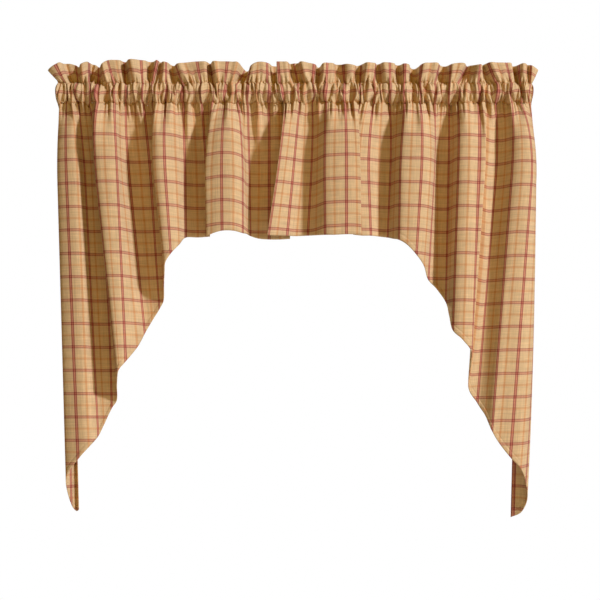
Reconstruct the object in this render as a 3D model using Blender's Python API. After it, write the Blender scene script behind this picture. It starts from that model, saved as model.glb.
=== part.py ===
"""A pair of gathered window swags, side by side on one rod line. Metres, +Z up, seen from -Y.

The origin is the rod line: the top inside face of the rod pocket, in mid-width.
"""

from collections import namedtuple
from math import cos, pi, sin

import bmesh
import bpy
from mathutils import Vector

SHEET = 0.0016  # thickness of one layer of cloth, with its weave
SEAM_GAP = 0.0003  # heading to hanging part

# Heading, from the hanging part up
POCKET_FOOT = -0.0370  # lower stitch line
POCKET_HEAD = 0.0025  # upper stitch line, under the ruffle
POCKET_BULGE = 0.0110  # how far each side of the pocket stands off the rod line
CHANNEL_FOOT = -0.0335
RUFFLE_THICK = 0.0034  # two layers of cloth
HEADING_STATIONS = 66
RUFFLE_SWING = 0.0080  # crest to mean, at the ruffle's top edge

# Hanging part
DROP_HEAD = POCKET_FOOT - SEAM_GAP
FOLD_LEVEL = -0.197  # where the folds are fully open
OPENING_RUN = 0.120  # how far below the heading the folds take to open
DROP_LEVELS = 11
STEPS_PER_POINT = 2  # columns of facets for each point of the section

# Points of a fold's section: the share of its width where it is still flat, and, where it is
# open, the shares of its width, of its tuck and of its rise
FOLD_SECTION = (
    (-0.14, 0.00, 1.00, 0.00),
    (-0.05, 0.00, 0.90, 0.30),
    (0.05, 0.00, 0.00, 0.60),
    (0.20, 0.18, 0.00, 0.88),
    (0.42, 0.42, 0.00, 1.00),
    (0.68, 0.70, 0.00, 0.88),
    (0.86, 0.88, 0.00, 0.45),
    (1.00, 1.00, 0.00, 0.04),
)
CREST_POINT = 4
RECESS = 0.50  # share of the rise by which the cloth between two folds lies behind the rod line
HEM_LIFT = 0.25  # share of the rise by which the hem of a fold's crest hangs higher

# One fold: where its left side and its right side stand at the heading, at the fold level and
# at the hem, how far it stands forward, how far the cloth is tucked behind its left side (or, if
# below 0, slopes up to it) at the fold level and at the hem, and the height of the hem at its
# left side, crest and right side
Fold = namedtuple("Fold", "left right rise tuck hem")
# A free edge or a side return: its place at the same three levels, its depth and its hem
Edge = namedtuple("Edge", "across forward hem")
Panel = namedtuple("Panel", "name outer folds inner")

LEFT = Panel(
    name="left",
    outer=(
        Edge((-0.4745, -0.452, -0.437), -0.056, -0.856),
        Edge((-0.4705, -0.466, -0.446), -0.036, -0.860),
        Edge((-0.4665, -0.473, -0.457), -0.014, -0.808),
    ),
    folds=(
        Fold(
            (-0.463, -0.466, -0.448), (-0.431, -0.420, -0.390), 0.024,
            (0.000, 0.000), (-0.796, -0.744, -0.699),
        ),
        Fold(
            (-0.406, -0.392, -0.356), (-0.326, -0.330, -0.308), 0.048,
            (0.010, 0.007), (-0.633, -0.573, -0.511),
        ),
        Fold(
            (-0.290, -0.277, -0.262), (-0.224, -0.221, -0.220), 0.044,
            (0.010, 0.007), (-0.434, -0.362, -0.307),
        ),
        Fold(
            (-0.174, -0.169, -0.166), (-0.094, -0.080, -0.070), 0.052,
            (0.003, 0.000), (-0.304, -0.304, -0.308),
        ),
    ),
    inner=(
        Edge((-0.040, -0.032, -0.028), -0.026, -0.309),
        Edge((-0.0205, -0.012, -0.008), -0.024, -0.308),
    ),
)
RIGHT = Panel(
    name="right",
    outer=(
        Edge((0.4665, 0.484, 0.469), -0.014, -0.822),
        Edge((0.4710, 0.478, 0.463), -0.036, -0.856),
        Edge((0.4750, 0.457, 0.443), -0.056, -0.876),
    ),
    folds=(
        Fold(
            (-0.018, -0.034, -0.048), (0.030, 0.020, 0.012), 0.044,
            (0.000, 0.000), (-0.311, -0.311, -0.306),
        ),
        Fold(
            (0.062, 0.055, 0.056), (0.176, 0.168, 0.162), 0.044,
            (0.004, 0.000), (-0.306, -0.310, -0.304),
        ),
        Fold(
            (0.206, 0.205, 0.208), (0.284, 0.286, 0.268), 0.046,
            (0.004, 0.000), (-0.306, -0.344, -0.398),
        ),
        Fold(
            (0.328, 0.325, 0.326), (0.400, 0.392, 0.360), 0.046,
            (-0.010, -0.014), (-0.436, -0.530, -0.632),
        ),
        Fold(
            (0.430, 0.425, 0.407), (0.462, 0.482, 0.466), 0.040,
            (0.006, 0.000), (-0.704, -0.758, -0.796),
        ),
    ),
    inner=(),
)

# Sides of each header lobe along the top edge, and the height of the top edge there
Lobe = namedtuple("Lobe", "left right top")
LEFT_RUFFLE = (
    Lobe(-0.492, -0.462, 0.043),
    Lobe(-0.430, -0.410, 0.043),
    Lobe(-0.384, -0.344, 0.045),
    Lobe(-0.334, -0.296, 0.046),
    Lobe(-0.288, -0.248, 0.042),
    Lobe(-0.230, -0.170, 0.043),
    Lobe(-0.162, -0.104, 0.042),
    Lobe(-0.090, -0.044, 0.042),
)
RIGHT_RUFFLE = (
    Lobe(-0.034, -0.010, 0.043),
    Lobe(0.010, 0.046, 0.043),
    Lobe(0.054, 0.080, 0.041),
    Lobe(0.088, 0.124, 0.041),
    Lobe(0.142, 0.164, 0.041),
    Lobe(0.174, 0.202, 0.040),
    Lobe(0.216, 0.234, 0.038),
    Lobe(0.248, 0.294, 0.041),
    Lobe(0.320, 0.344, 0.040),
    Lobe(0.364, 0.380, 0.038),
    Lobe(0.386, 0.436, 0.041),
    Lobe(0.450, 0.486, 0.039),
)
NOTCH = 0.008  # how far the top edge dips between two lobes

# Length and phase of the waves that make the pocket's uneven gathers
PUCKER_WAVES = ((0.0094, 0.4), (0.0151, 1.9), (0.0237, 4.1))

# One half of the heading's section, from the lower stitch line up: the pocket's outside, the
# pocket's inside and the ruffle, as shares of the bulge and of the height
POCKET_OUTSIDE = ((0.15, 0.00), (0.76, 0.16), (1.00, 0.46), (0.74, 0.80), (0.155, 1.00))
POCKET_INSIDE = ((0.06, 0.00), (0.60, 0.13), (0.84, 0.48), (0.58, 0.82), (0.06, 1.00))
RUFFLE_LEVELS = (0.25, 0.50, 0.75, 1.00)

# Where each heading ends, at its top edge, at the upper stitch line and at the lower one
LEFT_ENDS = ((-0.490, -0.471, -0.474), (-0.0400, -0.0330, -0.0195))
RIGHT_ENDS = ((-0.0396, -0.0326, -0.0191), (0.487, 0.474, 0.475))

# Woven check in tan, dark red and orange, as one plain colour on the solids
CLOTH_COLOUR = (0.62, 0.40, 0.20, 1.0)
CLOTH_ROUGHNESS = 0.92


def clear_scene():
    """Remove every object, so that only the swags are in the file."""
    for thing in list(bpy.data.objects):
        bpy.data.objects.remove(thing, do_unlink=True)


def cloth_material(name):
    """A matt woven cloth."""
    material = bpy.data.materials.new(name)
    material.use_nodes = True
    shader = material.node_tree.nodes["Principled BSDF"]
    shader.inputs["Base Color"].default_value = CLOTH_COLOUR
    shader.inputs["Roughness"].default_value = CLOTH_ROUGHNESS
    shader.inputs["Metallic"].default_value = 0.0
    material.diffuse_color = CLOTH_COLOUR
    return material


def smoothstep(t):
    """A soft step from 0 to 1."""
    t = min(max(t, 0.0), 1.0)
    return t * t * (3.0 - 2.0 * t)


def mix(a, b, t):
    """The value at share t of the way from a to b."""
    return a + (b - a) * t


def through_three(values, levels, z):
    """The parabola through three values at three levels."""
    (a, b, c), (za, zb, zc) = values, levels
    at_a = a * (z - zb) * (z - zc) / ((za - zb) * (za - zc))
    at_b = b * (z - za) * (z - zc) / ((zb - za) * (zb - zc))
    at_c = c * (z - za) * (z - zb) / ((zc - za) * (zc - zb))
    return at_a + at_b + at_c


def across_at(values, hem, z):
    """A line's place across the window at height z. A short line has no room below the fold level."""
    foot = min(hem, FOLD_LEVEL - 0.05)
    return through_three(values, (DROP_HEAD, FOLD_LEVEL, foot), max(z, foot))


def opened(z):
    """How far the folds are open at height z, from 0 at the heading to 1."""
    return smoothstep((DROP_HEAD - z) / OPENING_RUN)


def fold_points(fold, z):
    """The points of one fold's section at height z, as (across, forward)."""
    left = across_at(fold.left, fold.hem[0], z)
    right = across_at(fold.right, fold.hem[-1], z)
    width = right - left
    open_now = opened(z)
    tuck = mix(*fold.tuck, smoothstep((FOLD_LEVEL - z) / (FOLD_LEVEL - fold.hem[0])))
    return [
        (
            left + mix(flat * width, share * width + tucked * tuck, open_now),
            fold.rise * open_now * (up - RECESS),
        )
        for flat, share, tucked, up in FOLD_SECTION
    ]


def fold_hems(fold):
    """The hem's height at each point of the fold's section: what stands forward hangs a little higher."""
    marks = (0, CREST_POINT, len(FOLD_SECTION) - 1)
    return [
        through_three(fold.hem, marks, i) + HEM_LIFT * fold.rise * point[3]
        for i, point in enumerate(FOLD_SECTION)
    ]


def section(panel, z):
    """All points of a panel's section at height z, from its left edge to its right edge."""
    open_now = opened(z)
    outer = [(across_at(e.across, e.hem, z), e.forward * open_now) for e in panel.outer]
    inner = [(across_at(e.across, e.hem, z), e.forward * open_now) for e in panel.inner]
    folds = [point for fold in panel.folds for point in fold_points(fold, z)]
    if panel.name == "left":
        return outer + folds[2:] + inner
    return inner + folds[2:] + outer


def hems(panel):
    """The hem's height at each point of the section."""
    outer = [e.hem for e in panel.outer]
    inner = [e.hem for e in panel.inner]
    folds = [z for fold in panel.folds for z in fold_hems(fold)]
    if panel.name == "left":
        return outer + folds[2:] + inner
    return inner + folds[2:] + outer


def smooth_line(points, steps):
    """A smooth line through the points: each span is a cubic with the neighbours' chord as slope."""
    line = []
    last = len(points) - 1
    for i in range(last):
        before = points[max(i - 1, 0)]
        start = points[i]
        end = points[i + 1]
        after = points[min(i + 2, last)]
        for k in range(steps):
            t = k / steps
            line.append(
                tuple(
                    0.5
                    * (
                        2.0 * q
                        + (r - p) * t
                        + (2.0 * p - 5.0 * q + 4.0 * r - s) * t * t
                        + (3.0 * q - 3.0 * r + s - p) * t * t * t
                    )
                    for p, q, r, s in zip(before, start, end, after)
                )
            )
    line.append(tuple(points[last]))
    return line


def middle_surface(panel):
    """The rows of points of a hanging panel's middle surface, from the heading to the hem."""
    hem_line = [z for (z,) in smooth_line([(z,) for z in hems(panel)], STEPS_PER_POINT)]
    rows = []
    for level in range(DROP_LEVELS + 1):
        share = level / DROP_LEVELS
        row = []
        for column, hem in enumerate(hem_line):
            z = mix(DROP_HEAD, hem, share)
            across, forward = smooth_line(section(panel, z), STEPS_PER_POINT)[column]
            row.append(Vector((across, -forward, z)))
        rows.append(row)
    return rows


def normal_at(rows, i, j):
    """The surface normal at one point, towards the front."""
    along = rows[i][min(j + 1, len(rows[i]) - 1)] - rows[i][max(j - 1, 0)]
    down = rows[min(i + 1, len(rows) - 1)][j] - rows[max(i - 1, 0)][j]
    return down.cross(along).normalized()


def thick_sheet(name, rows, material):
    """A closed sheet of SHEET thickness around the rows of points."""
    mesh = bmesh.new()
    front = []
    back = []
    for i, row in enumerate(rows):
        offsets = [normal_at(rows, i, j) * (SHEET / 2) for j in range(len(row))]
        if i == 0:
            for offset in offsets:
                offset.z = 0.0
        front.append([mesh.verts.new(p + n) for p, n in zip(row, offsets)])
        back.append([mesh.verts.new(p - n) for p, n in zip(row, offsets)])
    for i in range(len(rows) - 1):
        for j in range(len(rows[0]) - 1):
            mesh.faces.new((front[i][j], front[i + 1][j], front[i + 1][j + 1], front[i][j + 1]))
            mesh.faces.new((back[i][j], back[i][j + 1], back[i + 1][j + 1], back[i + 1][j]))
    rim = edge_loop(front)
    rim_back = edge_loop(back)
    for k in range(len(rim)):
        after = (k + 1) % len(rim)
        mesh.faces.new((rim[k], rim[after], rim_back[after], rim_back[k]))
    return finished(name, mesh, material)


def edge_loop(grid):
    """The points round the edge of a grid, in order."""
    top = grid[0]
    right = [row[-1] for row in grid[1:]]
    bottom = grid[-1][-2::-1]
    left = [row[0] for row in grid[-2:0:-1]]
    return top + right + bottom + left


def finished(name, mesh, material):
    """A named object from a finished mesh, with its faces out and shaded smooth."""
    bmesh.ops.recalc_face_normals(mesh, faces=mesh.faces)
    data = bpy.data.meshes.new(name)
    mesh.to_mesh(data)
    mesh.free()
    for face in data.polygons:
        face.use_smooth = True
    data.materials.append(material)
    thing = bpy.data.objects.new(name, data)
    bpy.context.collection.objects.link(thing)
    return thing


def ruffle_swing(lobes, x):
    """How far forward the ruffle stands at x, from -1 in a recess to 1 on a lobe."""
    for lobe in lobes:
        if lobe.left <= x <= lobe.right:
            share = (x - lobe.left) / (lobe.right - lobe.left)
            return -1.0 + 2.0 * sin(pi * share ** 0.8) ** 0.7
    return -1.0


def ruffle_top(lobes, x):
    """The height of the ruffle's top edge at x."""
    nearest = min(lobes, key=lambda lobe: abs(x - (lobe.left + lobe.right) / 2))
    half = (nearest.right - nearest.left) / 2
    away = abs(x - (nearest.left + nearest.right) / 2) - half * 0.6
    return nearest.top - NOTCH * smoothstep(away / (half * 0.8))


def pucker(x):
    """The pocket's uneven gathers, as a factor on how far it bulges."""
    waves = sum(cos(2.0 * pi * x / length + phase) for length, phase in PUCKER_WAVES)
    return 1.0 + 0.09 * waves


def end_at(ends, z, top):
    """Where a heading's end stands at height z."""
    at_top, at_head, at_foot = ends
    if z > POCKET_HEAD:
        return mix(at_head, at_top, (z - POCKET_HEAD) / (top - POCKET_HEAD))
    return mix(at_foot, at_head, (z - POCKET_FOOT) / (POCKET_HEAD - POCKET_FOOT))


def station(lobes, ends, share, side):
    """One half-section of the heading: its outside points, then the channel's inside points."""
    top_x = mix(ends[0][0], ends[1][0], share)
    top = ruffle_top(lobes, top_x)
    bulge = POCKET_BULGE * pucker(top_x)
    outside = []
    inside = []
    for out, up in POCKET_OUTSIDE:
        z = mix(POCKET_FOOT, POCKET_HEAD, up)
        thick = max(out * bulge, SHEET)
        outside.append((side * thick, z))
    for out, up in POCKET_INSIDE:
        z = mix(CHANNEL_FOOT, 0.0, up)
        inside.append((side * out * bulge, z))
    for up in RUFFLE_LEVELS:
        z = mix(POCKET_HEAD, top, up)
        swing = -RUFFLE_SWING * ruffle_swing(lobes, top_x) * up
        outside.append((swing + side * RUFFLE_THICK / 2, z))

    def placed(point):
        y, z = point
        x = mix(end_at(ends[0], z, top), end_at(ends[1], z, top), share)
        return Vector((x, y, z))

    return [placed(p) for p in outside], [placed(p) for p in inside]


def heading(name, lobes, ends, material):
    """The ruffle and the hollow rod pocket, one closed body that is open at both ends."""
    mesh = bmesh.new()
    rings = []
    for k in range(HEADING_STATIONS + 1):
        share = k / HEADING_STATIONS
        front_out, front_in = station(lobes, ends, share, -1)
        back_out, back_in = station(lobes, ends, share, 1)
        rings.append(
            tuple([mesh.verts.new(p) for p in line] for line in (front_out, front_in, back_out, back_in))
        )
    for now, then in zip(rings, rings[1:]):
        outer_now = now[0] + now[2][::-1]
        outer_then = then[0] + then[2][::-1]
        inner_now = now[1] + now[3][::-1]
        inner_then = then[1] + then[3][::-1]
        for here, there in ((outer_now, outer_then), (inner_now, inner_then)):
            for i in range(len(here)):
                after = (i + 1) % len(here)
                mesh.faces.new((here[i], here[after], there[after], there[i]))
    for ring in (rings[0], rings[-1]):
        cap_heading(mesh, ring)
    return finished(name, mesh, material)


def cap_heading(mesh, ring):
    """Close the cloth at one end of the heading and leave the channel open."""
    front_out, front_in, back_out, back_in = ring
    pocket = len(front_in)
    for i in range(pocket - 1):
        mesh.faces.new((front_out[i], front_out[i + 1], front_in[i + 1], front_in[i]))
        mesh.faces.new((back_out[i], back_out[i + 1], back_in[i + 1], back_in[i]))
    mesh.faces.new((front_out[0], front_in[0], back_in[0], back_out[0]))
    mesh.faces.new((front_out[pocket - 1], front_in[-1], back_in[-1], back_out[pocket - 1]))
    for i in range(pocket - 1, len(front_out) - 1):
        mesh.faces.new((front_out[i], front_out[i + 1], back_out[i + 1], back_out[i]))


def main():
    """Build both panels, each as its heading and its hanging part."""
    clear_scene()
    for panel, lobes, ends in ((LEFT, LEFT_RUFFLE, LEFT_ENDS), (RIGHT, RIGHT_RUFFLE, RIGHT_ENDS)):
        heading(f"{panel.name}_heading", lobes, ends, cloth_material(f"{panel.name}_heading_cloth"))
        thick_sheet(f"{panel.name}_swag", middle_surface(panel), cloth_material(f"{panel.name}_swag_cloth"))


main()
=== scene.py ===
"""Looks of a window swag: two gathered panels of woven check cloth that share one rod line.

Metres, +Z up, seen from -Y. The origin is the rod line, in the middle of the swag's width.
Tables of cloth threads give millimetres and count the cloth's width in half checks.
"""

import logging
from dataclasses import dataclass, field
from enum import Enum
from math import cos, pi, radians, sin

import bpy
import numpy as np
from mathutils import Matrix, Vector


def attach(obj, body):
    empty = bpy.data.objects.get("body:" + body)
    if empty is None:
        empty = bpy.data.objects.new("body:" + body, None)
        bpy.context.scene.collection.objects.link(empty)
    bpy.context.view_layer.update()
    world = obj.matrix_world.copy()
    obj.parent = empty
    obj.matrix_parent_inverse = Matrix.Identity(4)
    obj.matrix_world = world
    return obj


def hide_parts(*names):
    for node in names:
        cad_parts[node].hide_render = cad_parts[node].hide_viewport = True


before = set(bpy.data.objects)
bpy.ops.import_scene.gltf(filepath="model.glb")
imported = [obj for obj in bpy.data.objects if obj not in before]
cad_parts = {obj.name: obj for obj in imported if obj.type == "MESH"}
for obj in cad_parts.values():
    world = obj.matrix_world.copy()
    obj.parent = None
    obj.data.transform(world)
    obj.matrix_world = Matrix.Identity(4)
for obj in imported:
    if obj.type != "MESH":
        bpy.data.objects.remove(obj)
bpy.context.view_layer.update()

LOG = logging.getLogger("window_swag")
MM = 0.001
BODY = "root"

CHECK = 0.0462  # one repeat of the check across the cloth
LEVEL_CHECK = 0.0467  # one repeat down the cloth
HALF_CHECK = CHECK / 2

POCKET_FOOT = -0.0370  # lower stitch line
POCKET_HEAD = 0.0025  # upper stitch line
SEAM_GAP = 0.0003
DROP_HEAD = POCKET_FOOT - SEAM_GAP  # where the hanging cloth begins
FOLD_LEVEL = -0.197  # where the folds are fully open


class Side(Enum):
    """The two panels of the swag."""

    LEFT = "left"
    RIGHT = "right"


class Layer(Enum):
    """The two layers of cloth in the heading."""

    FRONT = -1.0
    BACK = 1.0


@dataclass(frozen=True)
class Thread:
    """One upright line of the hanging cloth.

    flat counts half checks. across is in mm at the fold level (open) and at the hem (foot);
    forward and hem are in mm too. bow is how far the line bends sideways on its way down,
    lift how much higher than its neighbours the thread hangs, and fall how much further
    forward it ends than it starts.
    """

    flat: float
    open: float
    foot: float
    forward: float
    hem: float
    bow: float = 0.0
    lift: float = 0.0
    fall: float = 0.0


@dataclass(frozen=True)
class Frill:
    """One upright line of the ruffle at its top edge: half checks, then mm."""

    flat: float
    across: float
    top: float
    forward: float


@dataclass(frozen=True)
class Gather:
    """Where a thread is held by the gathering at the lower stitch line."""

    flat: float
    across: float


@dataclass(frozen=True)
class Pucker:
    """A small fold that starts at the lower stitch line and dies out below it, in mm."""

    across: float
    width: float
    forward: float
    reach: float


def table(kind: type, *rows: tuple) -> tuple:
    """A table whose rows are all of one kind."""
    return tuple(kind(*row) for row in rows)


LEFT_THREADS = table(
    Thread,
    (-3.15, -453, -436, -38, -855), (-2.7, -458, -442, -50, -860),
    (-2.10, -465, -449, -33, -846), (-1.10, -474, -457, -8, -790), (0.0, -454, -431, 4, -749),
    (1.0, -432, -410, 4, -725), (2.0, -420, -394, -17, -705), (3.0, -407, -383, -21, -683),
    (4.0, -391, -367, -21, -649, 4), (4.7, -383, -356, -15, -630), (5.2, -384, -354, 4, -604),
    (5.7, -393, -351, 23, -586), (6.1, -389, -350, 28, -580), (7.0, -372, -346, 31, -568),
    (8.0, -350, -334, 25, -553), (9.0, -343, -313, 3, -525), (10.0, -331, -301, -23, -499),
    (11.0, -308, -286, -26, -473), (12.0, -288, -271, -22, -449), (13.2, -268, -262, -15, -428),
    (14.0, -269, -260, 4, -400), (14.6, -277, -257, 24, -372), (15.1, -271, -256, 30, -360),
    (16.0, -254, -244, 30, -339), (17.0, -234, -229, 15, -321), (18.0, -219, -218, -11, -306),
    (19.0, -196, -194, -24, -305), (20.0, -177, -176, -21, -304), (20.9, -168, -169, -7, -304),
    (21.7, -172, -172, 12, -305, 0, 2), (22.4, -175, -173, 28, -305, 0, 5),
    (23.0, -163, -163, 32, -300, 0, 7), (24.0, -143, -142, 36, -294, 0, 9),
    (25.0, -120, -120, 34, -294, 0, 8), (26.0, -102, -102, 19, -298, 0, 4),
    (27.0, -97, -94, -2, -299), (28.0, -90, -88, -24, -302), (29.0, -71, -72, -30, -307),
    (30.0, -50, -50, -26, -309), (31.0, -28, -28, -24, -309), (31.8, -12, -8, -22, -308),
)
LEFT_GATHERS = table(
    Gather,
    (-3.15, -474), (-1.1, -467), (0.0, -455), (2.0, -432), (4.0, -410), (5.6, -402),
    (6.0, -391), (7.0, -376), (8.0, -358), (10.0, -338), (12.0, -302), (14.0, -283),
    (16.0, -256), (18.0, -222), (20.0, -185), (22.0, -162), (24.0, -138), (26.0, -112),
    (28.0, -93), (30.0, -50), (31.8, -16),
)
LEFT_FRILLS = table(
    Frill,
    (-3.15, -474, 30, -14), (-2.0, -484, 30, -8), (-0.9, -491, 28, 1), (0.0, -476, 38, 5),
    (0.3, -468, 42, 4), (0.6, -464, 43, -8), (1.3, -451, 43, -10), (2.0, -438, 39, -8),
    (2.5, -430, 34, -1), (2.9, -425, 37, 8), (3.5, -415, 42, 7), (3.9, -411, 43, 3),
    (4.2, -409, 43, -8), (5.3, -399, 40, -9), (6.4, -389, 34, -3), (7.0, -383, 37, 9),
    (8.0, -371, 45, 7), (9.0, -354, 46, 6), (9.6, -346, 46, 3), (9.9, -343, 46, -6),
    (10.5, -336, 46, -5), (10.8, -331, 46, 7), (12.0, -305, 46, 5), (12.4, -297, 46, 2),
    (12.8, -293, 46, -6), (13.6, -280, 46, -3), (13.9, -274, 46, 6), (14.3, -269, 45, -5),
    (15.2, -263, 44, 2), (15.8, -258, 43, 5), (16.3, -252, 42, 1), (16.7, -249, 41, -8),
    (17.6, -240, 38, -6), (18.3, -232, 39, 7), (19.0, -217, 41, 5), (20.0, -193, 43, 6),
    (20.8, -175, 43, 5), (21.2, -171, 43, -6), (22.2, -166, 43, -4), (22.6, -162, 43, 8),
    (23.4, -147, 43, 7), (24.4, -124, 43, 5), (25.2, -110, 41, 3), (25.5, -105, 36, -5),
    (26.2, -98, 29, -10), (27.2, -91, 29, -8), (28.0, -86, 35, 6), (29.0, -72, 42, 7),
    (30.0, -54, 41, 5), (30.3, -49, 40, 1), (30.6, -46, 39, -7), (31.8, -27, 38, -9),
)
LEFT_PUCKERS = table(
    Pucker,
    (-466, 12, 7, 60), (-444, 16, 8, 60), (-422, 8, 9, 30), (-392, 17, 14, 130),
    (-363, 20, 8, 70), (-344, 10, 6, 70), (-310, 15, 9, 125), (-276, 14, 8, 80),
    (-262, 12, -6, 95), (-247, 13, 6, 75), (-214, 14, 10, 145), (-187, 8, 8, 130),
    (-162, 14, 8, 90), (-132, 14, 8, 70), (-99, 16, 8, 80), (-74, 16, 10, 130),
    (-38, 14, 8, 120),
)

RIGHT_THREADS = table(
    Thread,
    (-0.2, -37, -53, 30, -303), (1.0, -21, -34, 22, -303), (2.0, -4, -14, 7, -303),
    (3.0, 14, 5, -8, -303), (4.0, 34, 28, -9, -302), (5.0, 46, 44, 11, -302),
    (6.0, 61, 62, 28, -302, 0, 4), (7.0, 80, 81, 33, -302, 0, 5),
    (8.0, 104, 104, 34, -301, 0, 6), (9.0, 124, 125, 31, -301, 0, 6),
    (9.5, 132, 133, 29, -301, 0, 5), (10.1, 116, 118, 23, -301, 0, 2),
    (11.0, 130, 134, 18, -303), (12.0, 149, 153, 12, -303), (13.0, 170, 170, -4, -304),
    (14.0, 193, 188, -10, -306), (15.0, 201, 198, 11, -309), (16.0, 210, 208, 32, -312, 0, -1),
    (17.0, 229, 224, 36, -322, 0, -2), (18.0, 251, 242, 34, -341, 0, -2),
    (19.0, 269, 258, 24, -363, 0, -3), (20.0, 279, 268, 4, -390, 0, -3),
    (21.0, 288, 287, -17, -409, 0, -2), (22.0, 311, 306, -18, -437, 0, -2),
    (23.0, 317, 310, 4, -461, 0, -2), (24.0, 325, 315, 28, -491, 0, -2),
    (25.0, 345, 335, 33, -511, 0, -2), (26.0, 366, 353, 24, -540, 0, -2),
    (26.5, 378, 351, 20, -566, 0, -2), (26.75, 373, 348, 13, -584, 0, -5),
    (27.0, 381, 347, 10, -599, 6, -8, 2), (28.0, 403, 366, -4, -637, 0, -8, 9),
    (29.0, 419, 381, 8, -661, 0, -8, 5), (30.0, 431, 393, 27, -691, 0, -8, -3),
    (31.0, 449, 408, 34, -716, 0, -7, -14), (32.0, 470, 430, 31, -744, 0, -7, -12),
    (33.0, 482, 451, 10, -767, 4, -6, 5), (33.9, 484, 464, -10, -792, 6, -4),
    (34.9, 479, 470, -31, -838, 5, -2), (35.5, 470, 460, -43, -862, 3),
    (36.1, 458, 441, -54, -873),
)
RIGHT_GATHERS = table(
    Gather,
    (-0.2, -18.5), (2.0, 11), (4.0, 37), (6.0, 64), (8.0, 102), (10.0, 132), (12.0, 159),
    (14.0, 192), (16.0, 221), (18.0, 251), (20.0, 281), (22.0, 311), (24.0, 327), (26.0, 368),
    (28.0, 404), (30.0, 434), (32.0, 452), (33.0, 463), (34.0, 472), (36.1, 477),
)
RIGHT_FRILLS = table(
    Frill,
    (-0.2, -35, 43, 6), (0.4, -24, 43, 6), (0.9, -13, 43, 4), (1.2, -10, 43, -7),
    (2.0, 0, 43, -7), (2.8, 9, 43, -3), (3.1, 13, 43, 7), (3.6, 28, 41, 5), (4.1, 43, 38, 2),
    (4.4, 46, 36, -6), (5.2, 53, 36, -3), (5.5, 57, 39, 6), (6.2, 70, 41, 4), (6.7, 79, 41, 1),
    (7.0, 82, 41, -6), (7.8, 95, 40, -5), (8.3, 105, 39, 4), (8.9, 121, 37, 2),
    (9.2, 125, 38, -7), (10.2, 138, 41, -4), (10.6, 143, 41, 6), (11.4, 156, 41, 5),
    (12.0, 163, 41, 1), (12.3, 165, 41, -6), (13.0, 172, 41, -3), (13.4, 177, 41, 7),
    (14.0, 191, 41, 6), (14.6, 201, 40, 2), (14.9, 204, 40, -7), (15.6, 214, 39, -3),
    (15.9, 218, 39, 6), (16.4, 230, 38, 2), (16.7, 233, 36, -8), (17.6, 246, 33, -6),
    (18.0, 254, 37, 7), (19.0, 273, 41, 5), (19.8, 288, 41, 3), (20.2, 293, 40, -8),
    (21.4, 306, 37, -6), (22.2, 315, 38, 7), (22.8, 325, 40, 6), (23.6, 342, 40, 2),
    (23.9, 346, 39, -8), (25.0, 354, 38, -5), (25.6, 365, 37, 5), (26.3, 374, 38, 4),
    (26.7, 378, 39, -5), (27.6, 382, 40, -3), (28.1, 389, 41, 7), (29.0, 405, 41, 6),
    (30.0, 423, 41, 5), (30.6, 434, 41, 2), (31.0, 438, 39, -9), (31.9, 448, 38, -3),
    (32.3, 454, 39, 7), (33.0, 464, 39, 3), (33.3, 467, 39, -3), (34.2, 476, 35, 4),
    (34.8, 488, 28, -1), (35.4, 480, 29, -9), (36.1, 470, 30, -14),
)
RIGHT_PUCKERS = table(
    Pucker,
    (-10, 12, 7, 60), (3, 14, 8, 70), (18, 8, 8, 45), (50, 10, 7, 60), (72, 25, 8, 80),
    (98, 16, 7, 60), (120, 11, 7, 60), (144, 11, 8, 70), (172, 20, 9, 90), (224, 18, 9, 80),
    (250, 14, 9, 85), (270, 9, 8, 65), (283, 8, 7, 60), (338, 22, 8, 75), (376, 9, 9, 110),
    (394, 12, 8, 70), (432, 10, 9, 90), (456, 20, 8, 70),
)


def through(knots: np.ndarray, values: np.ndarray, at: np.ndarray) -> np.ndarray:
    """A smooth curve through uneven knots.

    Args:
        knots: Rising places of the knots.
        values: The value at each knot.
        at: The places where the curve is wanted.

    Returns:
        The curve's value at each place.
    """
    gaps = np.diff(knots)
    slopes = np.diff(values) / gaps
    inner = (slopes[:-1] * gaps[1:] + slopes[1:] * gaps[:-1]) / (gaps[:-1] + gaps[1:])
    tangents = np.concatenate(([slopes[0]], inner, [slopes[-1]]))
    k = np.clip(np.searchsorted(knots, at, side="right") - 1, 0, len(gaps) - 1)
    gap = gaps[k]
    t = (at - knots[k]) / gap
    rise = (1 + 2 * t) * (1 - t) ** 2 * values[k] + t * t * (3 - 2 * t) * values[k + 1]
    lean = t * (1 - t) ** 2 * tangents[k] - t * t * (1 - t) * tangents[k + 1]
    return rise + gap * lean


def smooth(t: np.ndarray) -> np.ndarray:
    """A soft step from 0 to 1."""
    t = np.clip(t, 0.0, 1.0)
    return t * t * (3 - 2 * t)


def column(rows: tuple, name: str) -> np.ndarray:
    """One named column of a table of rows."""
    return np.array([float(getattr(row, name)) for row in rows])


def line_of(rows: tuple, name: str, flat: np.ndarray) -> np.ndarray:
    """One column of a table as a smooth line along the flat cloth, in metres."""
    return through(column(rows, "flat"), column(rows, name), flat) * MM


def ripple(across: np.ndarray, length: float, phase: float | np.ndarray = 0.0) -> np.ndarray:
    """A wave of one length along the cloth, from -1 to 1."""
    return np.sin(across * 2 * pi / length + phase)


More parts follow.
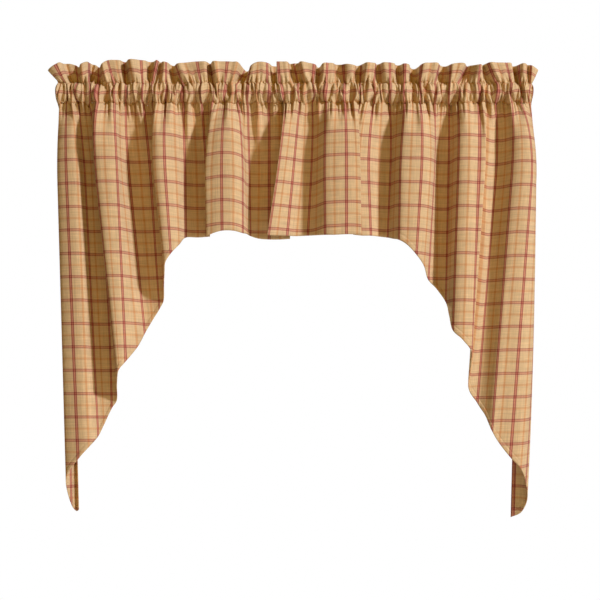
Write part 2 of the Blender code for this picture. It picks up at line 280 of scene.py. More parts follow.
class Graph:
    """Short calls that add shader nodes to one material and join them."""

    COLOUR_INPUTS = (0, 6, 7)  # a Mix node's share and its two colours
    COLOUR_OUTPUT = 2

    def __init__(self, material: bpy.types.Material) -> None:
        """Empty the material's node tree.

        Args:
            material: The material.
        """
        material.use_nodes = True
        self.tree = material.node_tree
        self.tree.nodes.clear()

    def add(self, kind: str, **settings: object) -> bpy.types.Node:
        """A new node with its settings.

        Args:
            kind: The node's type name.
            **settings: Attributes of the node.

        Returns:
            The node.
        """
        node = self.tree.nodes.new(kind)
        for name, value in settings.items():
            setattr(node, name, value)
        return node

    def feed(self, socket: bpy.types.NodeSocket, value: object) -> None:
        """Join a socket to another one, or give it a plain value.

        Args:
            socket: The input to fill.
            value: A socket or a plain value.
        """
        if isinstance(value, bpy.types.NodeSocket):
            self.tree.links.new(value, socket)
        else:
            socket.default_value = value

    def maths(self, operation: str, *values: object) -> bpy.types.NodeSocket:
        """The result of one arithmetic step.

        Args:
            operation: The Math node's operation.
            *values: Its inputs, sockets or numbers.

        Returns:
            The result's socket.
        """
        node = self.add("ShaderNodeMath", operation=operation)
        for socket, value in zip(node.inputs, values):
            self.feed(socket, value)
        return node.outputs[0]

    def fall(self, value: object, full: float, none: float) -> bpy.types.NodeSocket:
        """1 where the value is below full, 0 above none, and soft between.

        Args:
            value: The value, a socket or a number.
            full: Where the fall begins.
            none: Where it ends.

        Returns:
            The result's socket.
        """
        node = self.add("ShaderNodeMapRange", interpolation_type="SMOOTHSTEP")
        for socket, given in zip(node.inputs, (value, full, none, 1.0, 0.0)):
            self.feed(socket, given)
        return node.outputs[0]

    def blend(
        self, share: object, first: object, second: object, kind: str = "MIX"
    ) -> bpy.types.NodeSocket:
        """The colour at a share of the way from the first to the second.

        Args:
            share: The share, a socket or a number.
            first: The colour at 0.
            second: The colour at 1.
            kind: How the second is laid over the first.

        Returns:
            The colour's socket.
        """
        node = self.add("ShaderNodeMix", data_type="RGBA", blend_type=kind)
        for number, value in zip(self.COLOUR_INPUTS, (share, first, second)):
            self.feed(node.inputs[number], value)
        return node.outputs[self.COLOUR_OUTPUT]

    def times(self, first: object, second: object) -> bpy.types.NodeSocket:
        """Two colours multiplied."""
        return self.blend(1.0, first, second, "MULTIPLY")

    def noise(self, place: object, scale: float, detail: float) -> bpy.types.NodeSocket:
        """A soft noise from 0 to 1.

        Args:
            place: Where it is taken.
            scale: The noise's scale.
            detail: The noise's detail.

        Returns:
            The noise's socket.
        """
        node = self.add("ShaderNodeTexNoise")
        self.feed(node.inputs["Vector"], place)
        node.inputs["Scale"].default_value = scale
        node.inputs["Detail"].default_value = detail
        return node.outputs["Fac"]


Colour = tuple[float, float, float, float]


@dataclass(frozen=True)
class CheckCloth:
    """A matt cotton woven in a check: twin red lines and single orange ones on a tan ground.

    red, pink and orange are what those yarns leave of the ground's colour.
    """

    ground: Colour = (0.615, 0.430, 0.186, 1.0)
    plain: Colour = (1.0, 1.0, 1.0, 1.0)
    red: Colour = (0.44, 0.065, 0.16, 1.0)
    pink: Colour = (0.80, 0.40, 0.48, 1.0)
    orange: Colour = (0.91, 0.67, 0.52, 1.0)
    first_upright: float = 0.0  # from the cut edge's zero to a red line
    first_level: float = 0.0205
    red_spread: float = 0.0021  # each red line from its pair's middle
    line_core: float = 0.0006
    line_edge: float = 0.0014
    pair_edge: float = 0.0034
    orange_core: float = 0.0012
    orange_edge: float = 0.0034
    yarn: float = 0.00056
    weft_share: float = 0.60  # how strongly the level stripes show
    yarn_mix: float = 0.20
    yarn_runs: tuple = ((900.0, 40.0, 1.0), (40.0, 900.0, 1.0), (310.0, 9.0, 1.0), (14.0, 330.0, 1.0))
    yarn_tone: tuple = (0.34, 0.83)  # gain and base of the thick and thin yarns
    slow_scale: float = 24.0
    slow_tone: tuple = (0.12, 0.94)  # gain and base of the slow change
    crumple_scale: float = 75.0
    crumple_distance: float = 0.0016
    weave_distance: float = 0.00018
    bump_strength: float = 0.35
    roughness: float = 0.93
    specular: float = 0.12
    sheen: float = 0.04
    sheen_roughness: float = 0.55
    sheen_tint: Colour = (1.0, 0.90, 0.76, 1.0)
    map_name: str = "cut_cloth"

    def stripes(self, graph: Graph, along: object, first: float, repeat: float) -> bpy.types.NodeSocket:
        """The yarn colours of one direction.

        Args:
            graph: The material's graph.
            along: Metres across the stripes.
            first: Where one red pair lies.
            repeat: The distance from one red pair to the next.

        Returns:
            The colour's socket.
        """
        moved = graph.maths("DIVIDE", graph.maths("SUBTRACT", along, first - repeat / 2), repeat)
        offset = graph.maths("SUBTRACT", graph.maths("FRACT", moved), 0.5)
        from_red = graph.maths("MULTIPLY", graph.maths("ABSOLUTE", offset), repeat)
        from_orange = graph.maths("SUBTRACT", repeat / 2, from_red)
        from_line = graph.maths("ABSOLUTE", graph.maths("SUBTRACT", from_red, self.red_spread))
        orange_share = graph.fall(from_orange, self.orange_core, self.orange_edge)
        pair_share = graph.fall(from_red, self.line_core, self.pair_edge)
        line_share = graph.fall(from_line, self.line_core, self.line_edge)
        colour = graph.blend(orange_share, self.plain, self.orange)
        colour = graph.blend(pair_share, colour, self.pink)
        return graph.blend(line_share, colour, self.red)

    def material(self, name: str) -> bpy.types.Material:
        """The woven finish.

        Args:
            name: The material's name.

        Returns:
            The material.
        """
        material = bpy.data.materials.new(name)
        graph = Graph(material)
        place = graph.add("ShaderNodeUVMap", uv_map=self.map_name).outputs["UV"]
        split = graph.add("ShaderNodeSeparateXYZ")
        graph.feed(split.inputs[0], place)
        across, down = split.outputs["X"], split.outputs["Y"]
        warp = self.stripes(graph, across, self.first_upright, CHECK)
        weft = self.stripes(graph, down, self.first_level, LEVEL_CHECK)
        over = graph.maths(
            "MULTIPLY",
            graph.maths("SINE", graph.maths("MULTIPLY", across, pi / self.yarn)),
            graph.maths("SINE", graph.maths("MULTIPLY", down, pi / self.yarn)),
        )
        warp_share = graph.maths("MULTIPLY_ADD", over, self.yarn_mix, 1.0 - self.yarn_mix)
        weft_share = graph.maths("MULTIPLY_ADD", over, -self.yarn_mix, self.weft_share)
        woven = graph.times(self.ground, graph.blend(warp_share, self.plain, warp))
        woven = graph.times(woven, graph.blend(weft_share, self.plain, weft))
        colour = self.varied(graph, place, woven)
        shader = graph.add("ShaderNodeBsdfPrincipled")
        graph.feed(shader.inputs["Base Color"], colour)
        settings = {
            "Roughness": self.roughness,
            "Specular IOR Level": self.specular,
            "Sheen Weight": self.sheen,
            "Sheen Roughness": self.sheen_roughness,
            "Sheen Tint": self.sheen_tint,
        }
        for setting, value in settings.items():
            shader.inputs[setting].default_value = value
        graph.feed(shader.inputs["Normal"], self.relief(graph, place, over))
        out = graph.add("ShaderNodeOutputMaterial")
        graph.feed(out.inputs["Surface"], shader.outputs[0])
        return material

    def varied(self, graph: Graph, place: object, woven: object) -> bpy.types.NodeSocket:
        """The woven colour with thick and thin yarns and a slow change of tone.

        Args:
            graph: The material's graph.
            place: The place on the cut cloth.
            woven: The woven colour.

        Returns:
            The colour's socket.
        """
        value = 1.0
        for size in self.yarn_runs:
            run = graph.add("ShaderNodeVectorMath", operation="MULTIPLY")
            graph.feed(run.inputs[0], place)
            run.inputs[1].default_value = size
            yarns = graph.noise(run.outputs[0], 1.0, 1.0)
            value = graph.maths("MULTIPLY", value, graph.maths("MULTIPLY_ADD", yarns, *self.yarn_tone))
        slow = graph.noise(place, self.slow_scale, 3.0)
        value = graph.maths("MULTIPLY", value, graph.maths("MULTIPLY_ADD", slow, *self.slow_tone))
        tone = graph.add("ShaderNodeHueSaturation")
        graph.feed(tone.inputs["Color"], woven)
        graph.feed(tone.inputs["Value"], value)
        return tone.outputs[0]

    def relief(self, graph: Graph, place: object, over: object) -> bpy.types.NodeSocket:
        """The normal of the weave, with the slight crumple of washed cotton under it.

        Args:
            graph: The material's graph.
            place: The place on the cut cloth.
            over: The height of the weave.

        Returns:
            The normal's socket.
        """
        crumple = graph.add("ShaderNodeBump")
        crumple.inputs["Strength"].default_value = self.bump_strength
        crumple.inputs["Distance"].default_value = self.crumple_distance
        graph.feed(crumple.inputs["Height"], graph.noise(place, self.crumple_scale, 4.0))
        weave = graph.add("ShaderNodeBump")
        weave.inputs["Strength"].default_value = self.bump_strength
        weave.inputs["Distance"].default_value = self.weave_distance
        graph.feed(weave.inputs["Height"], over)
        graph.feed(weave.inputs["Normal"], crumple.outputs[0])
        return weave.outputs[0]


@dataclass
class ClothSheet:
    """A thin closed sheet of cloth around a grid of points."""

    name: str
    points: np.ndarray
    flat: np.ndarray
    thickness: float = 0.0012

    def normals(self) -> np.ndarray:
        """Unit normals of the grid, towards its front.

        Returns:
            One normal for each point.
        """
        down = np.gradient(self.points, axis=0)
        along = np.gradient(self.points, axis=1)
        normal = np.cross(down, along)
        return normal / np.maximum(np.linalg.norm(normal, axis=2, keepdims=True), 1e-12)

    def faces(self) -> np.ndarray:
        """Four-sided faces of both sides of the sheet and of its rim.

        Returns:
            The numbers of each face's four points.
        """
        rows, columns = self.points.shape[:2]
        index = np.arange(rows * columns).reshape(rows, columns)
        a, b = index[:-1, :-1].ravel(), index[1:, :-1].ravel()
        c, d = index[1:, 1:].ravel(), index[:-1, 1:].ravel()
        front = np.stack((a, b, c, d), axis=1)
        back = np.stack((a, d, c, b), axis=1) + rows * columns
        rim = np.concatenate((index[0], index[1:, -1], index[-1, -2::-1], index[-2:0:-1, 0]))
        after = np.roll(rim, -1)
        edge = np.stack((rim, after, after + rows * columns, rim + rows * columns), axis=1)
        return np.concatenate((front, back, edge))

    def build(self, map_name: str) -> bpy.types.Object:
        """The sheet as an object.

        Args:
            map_name: The name of the map that holds each point's place on the cut cloth.

        Returns:
            The object, linked to the scene.
        """
        offset = self.normals() * (self.thickness / 2)
        points = np.concatenate((self.points + offset, self.points - offset)).reshape(-1, 3)
        mesh = bpy.data.meshes.new(self.name)
        mesh.from_pydata(points.tolist(), [], self.faces().tolist())
        places = np.concatenate((self.flat, self.flat)).reshape(-1, 2)
        corners = np.empty(len(mesh.loops), dtype=np.int32)
        mesh.loops.foreach_get("vertex_index", corners)
        layer = mesh.uv_layers.new(name=map_name)
        layer.data.foreach_set("uv", places[corners].astype(np.float32).ravel())
        mesh.shade_smooth()
        mesh.update()
        thing = bpy.data.objects.new(self.name, mesh)
        bpy.context.scene.collection.objects.link(thing)
        return thing


@dataclass
class Gathering:
    """How one panel is drawn together at its two stitch lines."""

    gathers: tuple
    puckers: tuple
    threads: tuple
    frills: tuple
    seed: int
    inner: float
    wave_share: float = 0.26
    wave_limit: float = 0.0095
    frill_share: float = 0.60
    drawn: float = 0.0016
    pucker_gain: float = 1.25
    gap_depth: float = 0.0065
    tuck_pitches: tuple = (0.0049, 0.0077, 0.0121, 0.0193)
    tuck_weights: tuple = (0.5, 0.85, 1.0, 1.1)
    tuck_forward: float = 0.0040
    tuck_wander: float = 1.9  # radians
    wander_rates: tuple = (47.0, 29.0)
    tuck_shift: float = 2.4
    tuck_scale: float = 1.6
    bunch_share: tuple = (0.75, 0.45)
    bunch_lengths: tuple = (0.083, 0.047)
    seam_stand: float = 0.0016
    seam_wander: float = 0.0026
    seam_lengths: tuple = (0.0290, 0.0117)
    draw_waves: tuple = ((0.0370, 0.7), (0.0137, 0.0))  # length and phase
    draw_run: float = 0.050
    short_share: float = 0.7
    steep_flank: float = 1.5
    slack_flank: float = 0.85
    gap_reach: float = 0.080
    inner_lean: float = -0.0150
    lean_run: float = 1.1

    def across(self, flat: np.ndarray) -> np.ndarray:
        """Where each thread is held at the lower stitch line."""
        return line_of(self.gathers, "across", flat)

    def upper(self, flat: np.ndarray) -> np.ndarray:
        """Where each thread is held at the upper stitch line: the inner edge leans."""
        return self.across(flat) + self.inner_lean * np.exp(-np.abs(flat - self.inner) / self.lean_run)

    def seam_dip(self, across: np.ndarray, shift: float) -> np.ndarray:
        """How far a stitch line wanders up and down."""
        long, short = (ripple(across, length, k * shift) for k, length in enumerate(self.seam_lengths, 1))
        return self.seam_wander * (long + self.short_share * short)

    def wave(self, flat: np.ndarray) -> np.ndarray:
        """How far the folds below already stand forward at the lower stitch line."""
        line = line_of(self.threads, "forward", flat)
        return self.wave_limit * np.tanh(line * self.wave_share / self.wave_limit)

    def frill_wave(self, flat: np.ndarray) -> np.ndarray:
        """How far the ruffle's folds already stand forward at the upper stitch line."""
        return self.frill_share * line_of(self.frills, "forward", flat)

    def tucks(self, across: np.ndarray, shift: float) -> np.ndarray:
        """The uneven small tucks along a stitch line, from about -1 to 1.

        Args:
            across: Where each thread is held.
            shift: The tucks' phase, which differs between the two stitch lines.

        Returns:
            The tucks at each thread.
        """
        total = np.zeros_like(across)
        base_rate, rate_step = self.wander_rates
        for k, (pitch, weight) in enumerate(zip(self.tuck_pitches, self.tuck_weights)):
            wander = self.tuck_wander * np.sin(across * (base_rate + rate_step * k) + shift + k)
            total += weight * np.sin(2 * pi * across / pitch + wander + self.tuck_shift * shift)
        mean, swing = self.bunch_share
        wide, narrow = self.bunch_lengths
        bunched = mean + swing * ripple(across, wide, shift) * ripple(across, narrow)
        return total * bunched / self.tuck_scale

    def scatter(self, across: np.ndarray, depth: np.ndarray) -> np.ndarray:
        """How far the gathering draws each thread up or down near the stitch line."""
        wide, narrow = (ripple(across, length, phase) for length, phase in self.draw_waves)
        return self.drawn * (wide + self.short_share * narrow) * (1 - smooth(np.abs(depth) / self.draw_run))

    def small_folds(self, across: np.ndarray, depth: np.ndarray) -> np.ndarray:
        """How far the puckers stand forward below the stitch line.

        Args:
            across: Where each thread is held, one for each column.
            depth: How far each point lies below the stitch line, rows by columns.

        Returns:
            The forward distance at each point.
        """
        total = np.zeros_like(depth)
        for pucker in self.puckers:
            offset = (across - pucker.across * MM) / (pucker.width * MM * 0.5)
            skewed = np.where(offset < 0, offset * self.steep_flank, offset * self.slack_flank)
            ridge = np.exp(-(skewed**2)) * pucker.forward * MM * self.pucker_gain
            total += ridge[None, :] * (1 - smooth(depth / (pucker.reach * MM)))
        return total - self.gap_depth * (1 - smooth(depth / self.gap_reach))


@dataclass
class ClothPart:
    """One piece of a panel. Its columns follow a table of upright lines."""

    side: Side
    rows: tuple
    gathering: Gathering
    columns: int = 520

    def flats(self) -> np.ndarray:
        """Where each column lies on the flat cloth, in half checks."""
        return np.linspace(self.rows[0].flat, self.rows[-1].flat, self.columns)

    def along(self, name: str) -> np.ndarray:
        """One column of the table as a smooth line, in metres."""
        return line_of(self.rows, name, self.flats())

    def held(self) -> np.ndarray:
        """Where each column is held at the lower stitch line."""
        return self.gathering.across(self.flats())

    def laid_flat(self, down: np.ndarray) -> np.ndarray:
        """Each point's place on the cut cloth, from how far down it lies."""
        return np.stack((np.broadcast_to(self.flats() * HALF_CHECK, down.shape), down), axis=2)


@dataclass
class HangingPanel(ClothPart):
    """The hanging part of one panel, from the lower stitch line to the shaped hem."""

    upright_rows: int = 76
    head_crowding: float = 0.36
    opening_run: float = 0.072
    opening_power: float = 2.4
    hollow_run: float = 0.135
    hollow_depth: float = 0.012
    row_lift: float = 0.08
    closing_limit: float = 1.1
    seam_fade: float = 0.042
    foremost: float = 0.0372
    limit_span: float = 0.02  # further past foremost than this, the soft limit is simply full
    rounding: float = 0.0012
    hem_step: float = 1.2
    hem_rows: tuple = (0.0145, 0.0130, 0.0118, 0.0106, 0.0070, 0.0035, 0.0)
    hem_relief: tuple = (0.0, -0.0004, -0.0001, 0.0005, 0.0006, 0.0006, 0.0005)

    @property
    def name(self) -> str:
        """The piece's name."""
        return f"{self.side.value}_hanging_cloth"

    def heights(self) -> np.ndarray:
        """The height of every point: rows that crowd at the head, then those of the turned-up hem.

        Returns:
            The heights, rows by columns.
        """
        hem = self.along("hem")
        share = np.linspace(0.0, 1.0, self.upright_rows)[:, None]
        share = share * (self.head_crowding + (1 - self.head_crowding) * share)
        last = hem + self.hem_rows[0] * self.hem_step
        head = DROP_HEAD + self.gathering.seam_dip(self.held(), 0.0)
        upper = head + (last - head) * share
        lower = hem + np.array(self.hem_rows)[:, None]
        return np.concatenate((upper, lower))

    def across(self, z: np.ndarray) -> np.ndarray:
        """Where every point stands across the window.

        Args:
            z: The height of every point.

        Returns:
            The places, rows by columns.
        """
        opened, foot = self.along("open"), self.along("foot")
        hem = self.along("hem")
        share = (FOLD_LEVEL - z) / (FOLD_LEVEL - hem)
        below = np.clip(share, 0.0, 1.0)
        straight = opened + (foot - opened) * share + self.along("bow") * 4 * below * (1 - below)
        at_head = opened + (foot - opened) * (FOLD_LEVEL - DROP_HEAD) / (FOLD_LEVEL - hem)
        closing = np.clip((z - FOLD_LEVEL) / (DROP_HEAD - FOLD_LEVEL), 0.0, self.closing_limit) ** 2
        return straight + (self.held() - at_head) * closing

    def opening(self, depth: np.ndarray, forward: np.ndarray) -> np.ndarray:
        """How far the folds are open at each depth, from 0 to 1: the hollows open slower.

        Args:
            depth: How far each point lies below the stitch line, rows by columns.
            forward: How far forward the open folds stand, rows by columns.

        Returns:
            The share of the open form that each point has.
        """
        hollow = smooth(-forward / self.hollow_depth)
        crest_share = 1 - (1 - np.clip(depth / self.opening_run, 0.0, 1.0)) ** self.opening_power
        return crest_share + (smooth(depth / self.hollow_run) - crest_share) * hollow

    def grid(self) -> tuple[np.ndarray, np.ndarray]:
        """The middle surface.

        Returns:
            The points, and each point's place on the cut cloth.
        """
        z = self.heights()
        depth = DROP_HEAD - z
        held = self.held()
        below = np.clip((FOLD_LEVEL - z) / (FOLD_LEVEL - self.along("hem")), 0.0, 1.0)
        forward = self.along("forward") + self.along("fall") * below
        tucks = self.gathering.tucks(held, 0.0)
        seam = self.gathering.seam_stand + self.gathering.tuck_forward * tucks
        opening = self.opening(depth, forward)
        out = self.gathering.wave(self.flats()) * (1 - opening) + forward * opening
        out = out + self.gathering.small_folds(held, depth)
        out[-len(self.hem_relief) :] += np.array(self.hem_relief)[:, None]
        out = out + seam * (1 - smooth(depth / self.seam_fade))
        room = np.maximum(self.foremost - out, -self.limit_span) / self.rounding
        out = self.foremost - self.rounding * np.log1p(np.exp(room))
        points = np.stack((self.across(z), -out, z), axis=2)
        lifted = self.row_lift * forward + self.along("lift")
        down = depth + lifted * opening + self.gathering.scatter(held, depth)
        return points, self.laid_flat(down)

    def build(self, finish: CheckCloth) -> bpy.types.Object:
        """Args:
            finish: The cloth's finish.

        Returns:
            The finished piece.
        """
        points, flat = self.grid()
        piece = ClothSheet(self.name, points, flat).build(finish.map_name)
        piece.data.materials.append(finish.material(f"{self.side.value}_hanging_check"))
        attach(piece, BODY)
        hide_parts(f"{self.side.value}_swag")
        return piece


@dataclass
class Heading(ClothPart):
    """The doubled heading of one panel: a ruffle over a rod pocket."""

    columns: int = 700
    pocket_bulge: float = 0.0125
    rod_clearance: float = 0.0064
    sidle_reach: float = 0.0032
    sidle_lengths: tuple = (0.0410, 0.0170)
    narrow_sidle: float = 0.4
    rod_span: tuple = (-0.0245, -0.0075)
    rod_fade: float = 0.006
    sway_lengths: tuple = (0.031, 0.019)
    sway_shares: tuple = (0.16, 0.12)
    swell_power: float = 1.5
    upper_shift: float = 1.7  # the phase of the upper stitch line's waves
    upper_dip: float = 0.6  # how far it wanders, as a share of the lower one
    upper_tuck: float = 1.2
    tuck_loss: float = 0.7
    tuck_floor: float = 0.3
    tuck_run: float = 0.4
    lower_reach: float = 0.8
    pocket_rows: int = 16
    ruffle_rows: int = 13
    layer_gap: float = 0.0016
    crease_count: int = 60
    crease_depth: tuple = (0.0040, 0.0115)
    crease_width: tuple = (0.0013, 0.0032)
    crease_lean: float = 0.0060
    crease_bow: float = 0.0035
    crease_fade: float = 0.35
    crease_feet: tuple = (-0.3, -0.2, 0.25)
    crease_tops: tuple = (0.7, 1.2, 1.3)
    seam_crease: float = 0.35  # how much of a crease is left at the stitch lines
    back_crease: float = 0.6  # how deep the back's creases are beside the front's
    swing: float = 1.9
    flare_power: float = 0.9
    swing_power: float = 0.55
    tuck_fade: float = 0.45
    fine_depth: float = 0.0012
    fine_length: float = 0.0125
    fine_phase: float = 0.8
    fine_power: float = 1.5
    gap_taper: float = 0.45

    @property
    def name(self) -> str:
        """The piece's name."""
        return f"{self.side.value}_heading_cloth"

    def creases(self, held: np.ndarray, share: np.ndarray) -> np.ndarray:
        """The sharp uneven creases of the gathered pocket.

        Args:
            held: Where each thread is held at the stitch line.
            share: How far up the pocket each row lies.

        Returns:
            How far back the creases go, rows by columns.
        """
        random = np.random.default_rng(self.gathering.seed)
        total = np.zeros((len(share), len(held)))
        start, end = held.min(), held.max()
        for k in range(self.crease_count):
            middle = start + (end - start) * (k + random.uniform(0.15, 0.85)) / self.crease_count
            lean, bow = random.normal(0.0, self.crease_lean), random.normal(0.0, self.crease_bow)
            deep, wide = random.uniform(*self.crease_depth), random.uniform(*self.crease_width)
            foot, top = random.choice(self.crease_feet), random.choice(self.crease_tops)
            line = middle + lean * (share - 0.5) + bow * np.sin(pi * share)
            fade = smooth((share - foot) / self.crease_fade) * smooth((top - share) / self.crease_fade)
            total -= deep * fade[:, None] * np.exp(-((held[None, :] - line[:, None]) / wide) ** 2)
        return total

    def sidle(self, held: np.ndarray, share: np.ndarray) -> np.ndarray:
        """How far the gathered folds wander sideways between the stitch lines.

        Args:
            held: Where each thread is held.
            share: How far up the pocket each row lies.

        Returns:
            The sideways distance, rows by columns.
        """
        wide = ripple(held, self.sidle_lengths[0], 1.0 + 2.0 * share)
        narrow = ripple(held, self.sidle_lengths[1], 3.0 * share)
        reach = self.sidle_reach * wide + self.narrow_sidle * self.sidle_reach * narrow
        return reach * np.sin(pi * share)

    def pocket_tucks(self, held: np.ndarray, share: np.ndarray) -> np.ndarray:
        """The tucks of both stitch lines, each fading towards the other.

        Args:
            held: Where each thread is held.
            share: How far up the pocket each row lies.

        Returns:
            The forward distance, rows by columns.
        """
        fading = 1 - self.tuck_loss * smooth(share / self.tuck_run)
        growing = self.tuck_floor + self.tuck_loss * self.near_head(share)
        lower = self.gathering.tucks(held, 0.0) * fading[:, None]
        upper = self.gathering.tucks(held, self.upper_shift) * growing[:, None]
        return self.gathering.tuck_forward * (lower + self.upper_tuck * upper)

    def near_head(self, share: np.ndarray) -> np.ndarray:
        """A step that rises over the pocket's upper half."""
        return smooth((share - 0.5) / 0.5)

    def past_rod(self, out: np.ndarray, height: np.ndarray, layer: Layer) -> np.ndarray:
        """One side of the pocket, kept clear of the rod.

        Args:
            out: The forward distance, rows by columns.
            height: The height of each row.
            layer: The front or the back layer.

        Returns:
            The forward distance with room for the rod.
        """
        foot, head = self.rod_span
        held_off = smooth((height - foot) / self.rod_fade) * smooth((head - height) / self.rod_fade)
        clear = -layer.value * np.maximum(-layer.value * out, self.rod_clearance)
        return out + (clear - out) * held_off[:, None]

    def upper_seam(self, held: np.ndarray) -> np.ndarray:
        """How far the upper stitch line wanders up and down."""
        return self.gathering.seam_dip(held, self.upper_shift)

    def pocket(self, layer: Layer) -> tuple[np.ndarray, np.ndarray, np.ndarray]:
        """One side of the pocket, from the lower stitch line up.

        Args:
            layer: The front or the back layer.

        Returns:
            Across, forward and height, each rows by columns.
        """
        share = np.linspace(0.0, 1.0, self.pocket_rows)
        held = self.held()
        across = held + (self.gathering.upper(self.flats()) - held) * share[:, None]
        across = across + self.sidle(held, share[:, None])
        angle = share * pi
        height = POCKET_FOOT + (POCKET_HEAD - POCKET_FOOT) * (0.5 - 0.5 * np.cos(angle))
        swell = np.sin(angle)[:, None] ** self.swell_power
        wide, narrow = self.sway_lengths
        sway = 1 + self.sway_shares[0] * ripple(held, wide, 1.0)
        sway = sway + self.sway_shares[1] * ripple(held, narrow)
        creases = self.creases(held, share) * (1.0 if layer is Layer.FRONT else self.back_crease)
        stand = self.gathering.seam_stand + swell * self.pocket_bulge * sway
        out = stand + creases * (self.seam_crease + swell) + self.pocket_tucks(held, share)
        folds = self.gathering.small_folds(held, np.zeros((1, len(held))))[0]
        folds = folds + self.gathering.wave(self.flats())
        lower_wave = folds * (1 - smooth(share / self.lower_reach))[:, None]
        upper_wave = self.gathering.frill_wave(self.flats()) * self.near_head(share)[:, None]
        out = self.past_rod(-layer.value * out + lower_wave + upper_wave, height, layer)
        dip = self.gathering.seam_dip(held, 0.0) * (1 - share[:, None])
        dip = dip + self.upper_seam(held) * share[:, None] * self.upper_dip
        return across, out, height[:, None] + dip

    def ruffle(self, layer: Layer) -> tuple[np.ndarray, np.ndarray, np.ndarray]:
        """One layer of the ruffle, from the upper stitch line to the top edge.

        Args:
            layer: The front or the back layer.

        Returns:
            Across, forward and height, each rows by columns.
        """
        held = self.gathering.upper(self.flats())
        share = np.linspace(0.0, 1.0, self.ruffle_rows + 1)[1:, None]
        top = self.along("top")
        across = held + (self.along("across") - held) * share**self.flare_power
        begin = self.gathering.frill_wave(self.flats())
        swing = begin + (self.swing * self.along("forward") - begin) * share**self.swing_power
        tucks = self.gathering.tucks(held, self.upper_shift) * (1 - smooth(share / self.tuck_fade))
        fine = self.fine_depth * ripple(held, self.fine_length, self.fine_phase)
        fine = fine * (1 - share) ** self.fine_power
        gap = self.layer_gap * (1 - self.gap_taper * share)
        out = swing + self.gathering.tuck_forward * tucks + fine - layer.value * gap
        foot = POCKET_HEAD + self.upper_seam(self.held()) * self.upper_dip
        z = foot + (top - foot) * share
        return across, out, z

    def grid(self) -> tuple[np.ndarray, np.ndarray]:
        """The middle surface: up the front, over the top edge and down the back.

        Returns:
            The points, and each point's place on the cut cloth.
        """
        stacks = []
        for layer in (Layer.FRONT, Layer.BACK):
            parts = zip(self.pocket(layer), self.ruffle(layer))
            stacks.append([np.concatenate(part) for part in parts])
        front, back = stacks
        ridge = [(a[-1:] + b[-1:]) / 2 for a, b in zip(front, back)]
        ridge[2] = ridge[2] + self.layer_gap * 0.5
        back = [part[::-1] for part in back]
        x, out, z = (np.concatenate(parts) for parts in zip(front, ridge, back))
        points = np.stack((x, -out, z), axis=2)
        steps = np.linalg.norm(np.diff(points[..., 1:], axis=0), axis=2)
        steps = np.broadcast_to(steps.mean(axis=1, keepdims=True), steps.shape)
        rise = np.concatenate((np.zeros((1, self.columns)), np.cumsum(steps, axis=0)))
        rise = rise - self.gathering.scatter(self.held(), np.maximum(z - POCKET_HEAD, 0.0))
        return points, self.laid_flat(-rise)

    def build(self, finish: CheckCloth) -> bpy.types.Object:
        """Args:
            finish: The cloth's finish.

        Returns:
            The finished piece.
        """
        points, flat = self.grid()
        piece = ClothSheet(self.name, points[::-1], flat[::-1]).build(finish.map_name)
        piece.data.materials.append(finish.material(f"{self.side.value}_heading_check"))
        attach(piece, BODY)
        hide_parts(f"{self.side.value}_heading")
        return piece


@dataclass
class SwagPanel:
    """One panel of the swag: its heading and the cloth that hangs from it."""

    side: Side
    threads: tuple
    gathers: tuple
    frills: tuple
    puckers: tuple
    inner: float
    seed: int
    finish: CheckCloth = field(default_factory=CheckCloth)

    def build(self) -> list[bpy.types.Object]:
        """Build both pieces.

        Returns:
            The heading and the hanging cloth.
        """
        gathering = Gathering(
            self.gathers, self.puckers, self.threads, self.frills, self.seed, self.inner
        )
        heading = Heading(self.side, self.frills, gathering).build(self.finish)
        hanging = HangingPanel(self.side, self.threads, gathering).build(self.finish)
        return [heading, hanging]


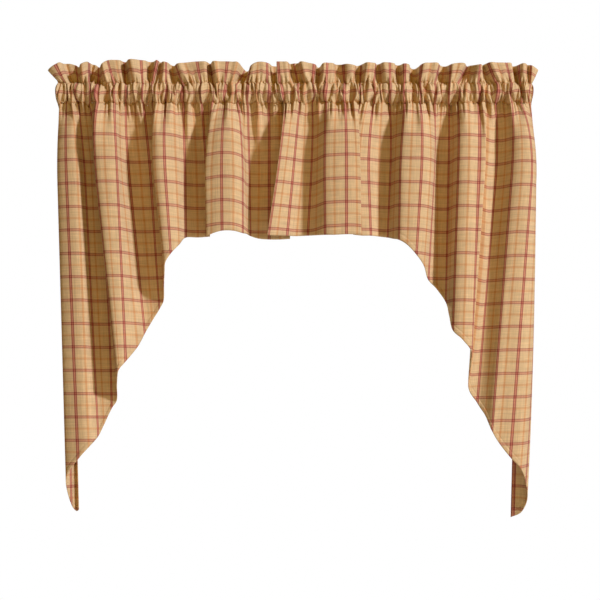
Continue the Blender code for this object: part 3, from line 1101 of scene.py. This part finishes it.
@dataclass
class Studio:
    """A plain white studio with a pale floor, a warm soft fill and one key light."""

    eye: tuple = (0.012, -3.0, -0.431)
    lens: float = 90.0
    floor_level: float = -1.55
    floor_half: float = 3.0
    floor_ahead: float = -1.8
    floor_colour: Colour = (0.78, 0.76, 0.72, 1.0)
    key_turn: float = 50.0
    key_height: float = 30.0
    lamp_distance: float = 9.0
    key_size: float = 0.80
    key_power: float = 765.0
    key_colour: tuple = (0.98, 1.0, 1.40)
    back_turn: float = 200.0
    back_power: float = 620.0
    front_turn: float = 8.0
    front_height: float = 12.0
    front_size: float = 5.0
    front_power: float = 120.0
    fill_colour: Colour = (1.0, 0.62, 0.06, 1.0)
    fill_strength: float = 0.10
    backdrop_colour: Colour = (1.0, 1.0, 1.0, 1.0)
    aim: tuple = (0.0, 0.0, -0.4)

    def camera(self) -> None:
        """Stand the camera level, straight in front of the swag."""
        data = bpy.data.cameras.new("camera")
        data.lens = self.lens
        camera = bpy.data.objects.new("camera", data)
        camera.location = self.eye
        camera.rotation_euler = (radians(90), 0.0, 0.0)
        bpy.context.scene.collection.objects.link(camera)
        bpy.context.scene.camera = camera

    def lamp(self, name: str, turn: float, height: float, size: float, power: float) -> bpy.types.Light:
        """Add a square lamp that faces the swag.

        Args:
            name: The lamp's name.
            turn: Degrees round from straight ahead, towards the right.
            height: Degrees above the swag.
            size: The length of its side in metres.
            power: Its power in watts.

        Returns:
            The lamp's data.
        """
        data = bpy.data.lights.new(name, "AREA")
        data.energy = power
        data.size = size
        lamp = bpy.data.objects.new(name, data)
        a, e = radians(turn), radians(height)
        towards = Vector((sin(a) * cos(e), -cos(a) * cos(e), sin(e)))
        lamp.location = Vector(self.aim) + towards * self.lamp_distance
        lamp.rotation_euler = towards.to_track_quat("Z", "Y").to_euler()
        bpy.context.scene.collection.objects.link(lamp)
        return data

    def floor(self) -> None:
        """Lay the floor well below the swag."""
        half = self.floor_half
        corners = [(-half, -half), (half, -half), (half, half), (-half, half)]
        points = [(x, y + self.floor_ahead, self.floor_level) for x, y in corners]
        mesh = bpy.data.meshes.new("floor")
        mesh.from_pydata(points, [], [(0, 1, 2, 3)])
        material = bpy.data.materials.new("pale_floor")
        graph = Graph(material)
        shader = graph.add("ShaderNodeBsdfPrincipled")
        shader.inputs["Base Color"].default_value = self.floor_colour
        shader.inputs["Roughness"].default_value = 0.8
        out = graph.add("ShaderNodeOutputMaterial")
        graph.feed(out.inputs["Surface"], shader.outputs[0])
        mesh.materials.append(material)
        thing = bpy.data.objects.new("floor", mesh)
        bpy.context.scene.collection.objects.link(thing)

    def surroundings(self) -> None:
        """A white backdrop, and a warm fill light from all around."""
        world = bpy.data.worlds.new("studio")
        world.use_nodes = True
        bpy.context.scene.world = world
        tree = world.node_tree
        tree.nodes.clear()
        fill = tree.nodes.new("ShaderNodeBackground")
        fill.inputs["Color"].default_value = self.fill_colour
        fill.inputs["Strength"].default_value = self.fill_strength
        backdrop = tree.nodes.new("ShaderNodeBackground")
        backdrop.inputs["Color"].default_value = self.backdrop_colour
        chosen = tree.nodes.new("ShaderNodeMixShader")
        rays = tree.nodes.new("ShaderNodeLightPath")
        out = tree.nodes.new("ShaderNodeOutputWorld")
        tree.links.new(rays.outputs["Is Camera Ray"], chosen.inputs[0])
        tree.links.new(fill.outputs[0], chosen.inputs[1])
        tree.links.new(backdrop.outputs[0], chosen.inputs[2])
        tree.links.new(chosen.outputs[0], out.inputs["Surface"])
        bpy.context.scene.view_settings.view_transform = "Standard"

    def build(self) -> None:
        """Set up the whole studio, the camera first."""
        self.camera()
        self.floor()
        key = self.lamp("key", self.key_turn, self.key_height, self.key_size, self.key_power)
        key.color = self.key_colour
        self.lamp("back", self.back_turn, self.key_height, self.key_size, self.back_power)
        front = self.lamp(
            "front", self.front_turn, self.front_height, self.front_size, self.front_power
        )
        front.color = self.fill_colour[:3]
        self.surroundings()


def main() -> None:
    """Build the studio and both panels, and report each piece."""
    logging.basicConfig(level=logging.INFO, format="%(message)s")
    Studio().build()
    panels = (
        SwagPanel(Side.LEFT, LEFT_THREADS, LEFT_GATHERS, LEFT_FRILLS, LEFT_PUCKERS, 31.8, 11),
        SwagPanel(Side.RIGHT, RIGHT_THREADS, RIGHT_GATHERS, RIGHT_FRILLS, RIGHT_PUCKERS, -0.2, 23),
    )
    for panel in panels:
        for piece in panel.build():
            LOG.info("%s: %d faces", piece.name, len(piece.data.polygons))


if __name__ == "__main__":
    main()
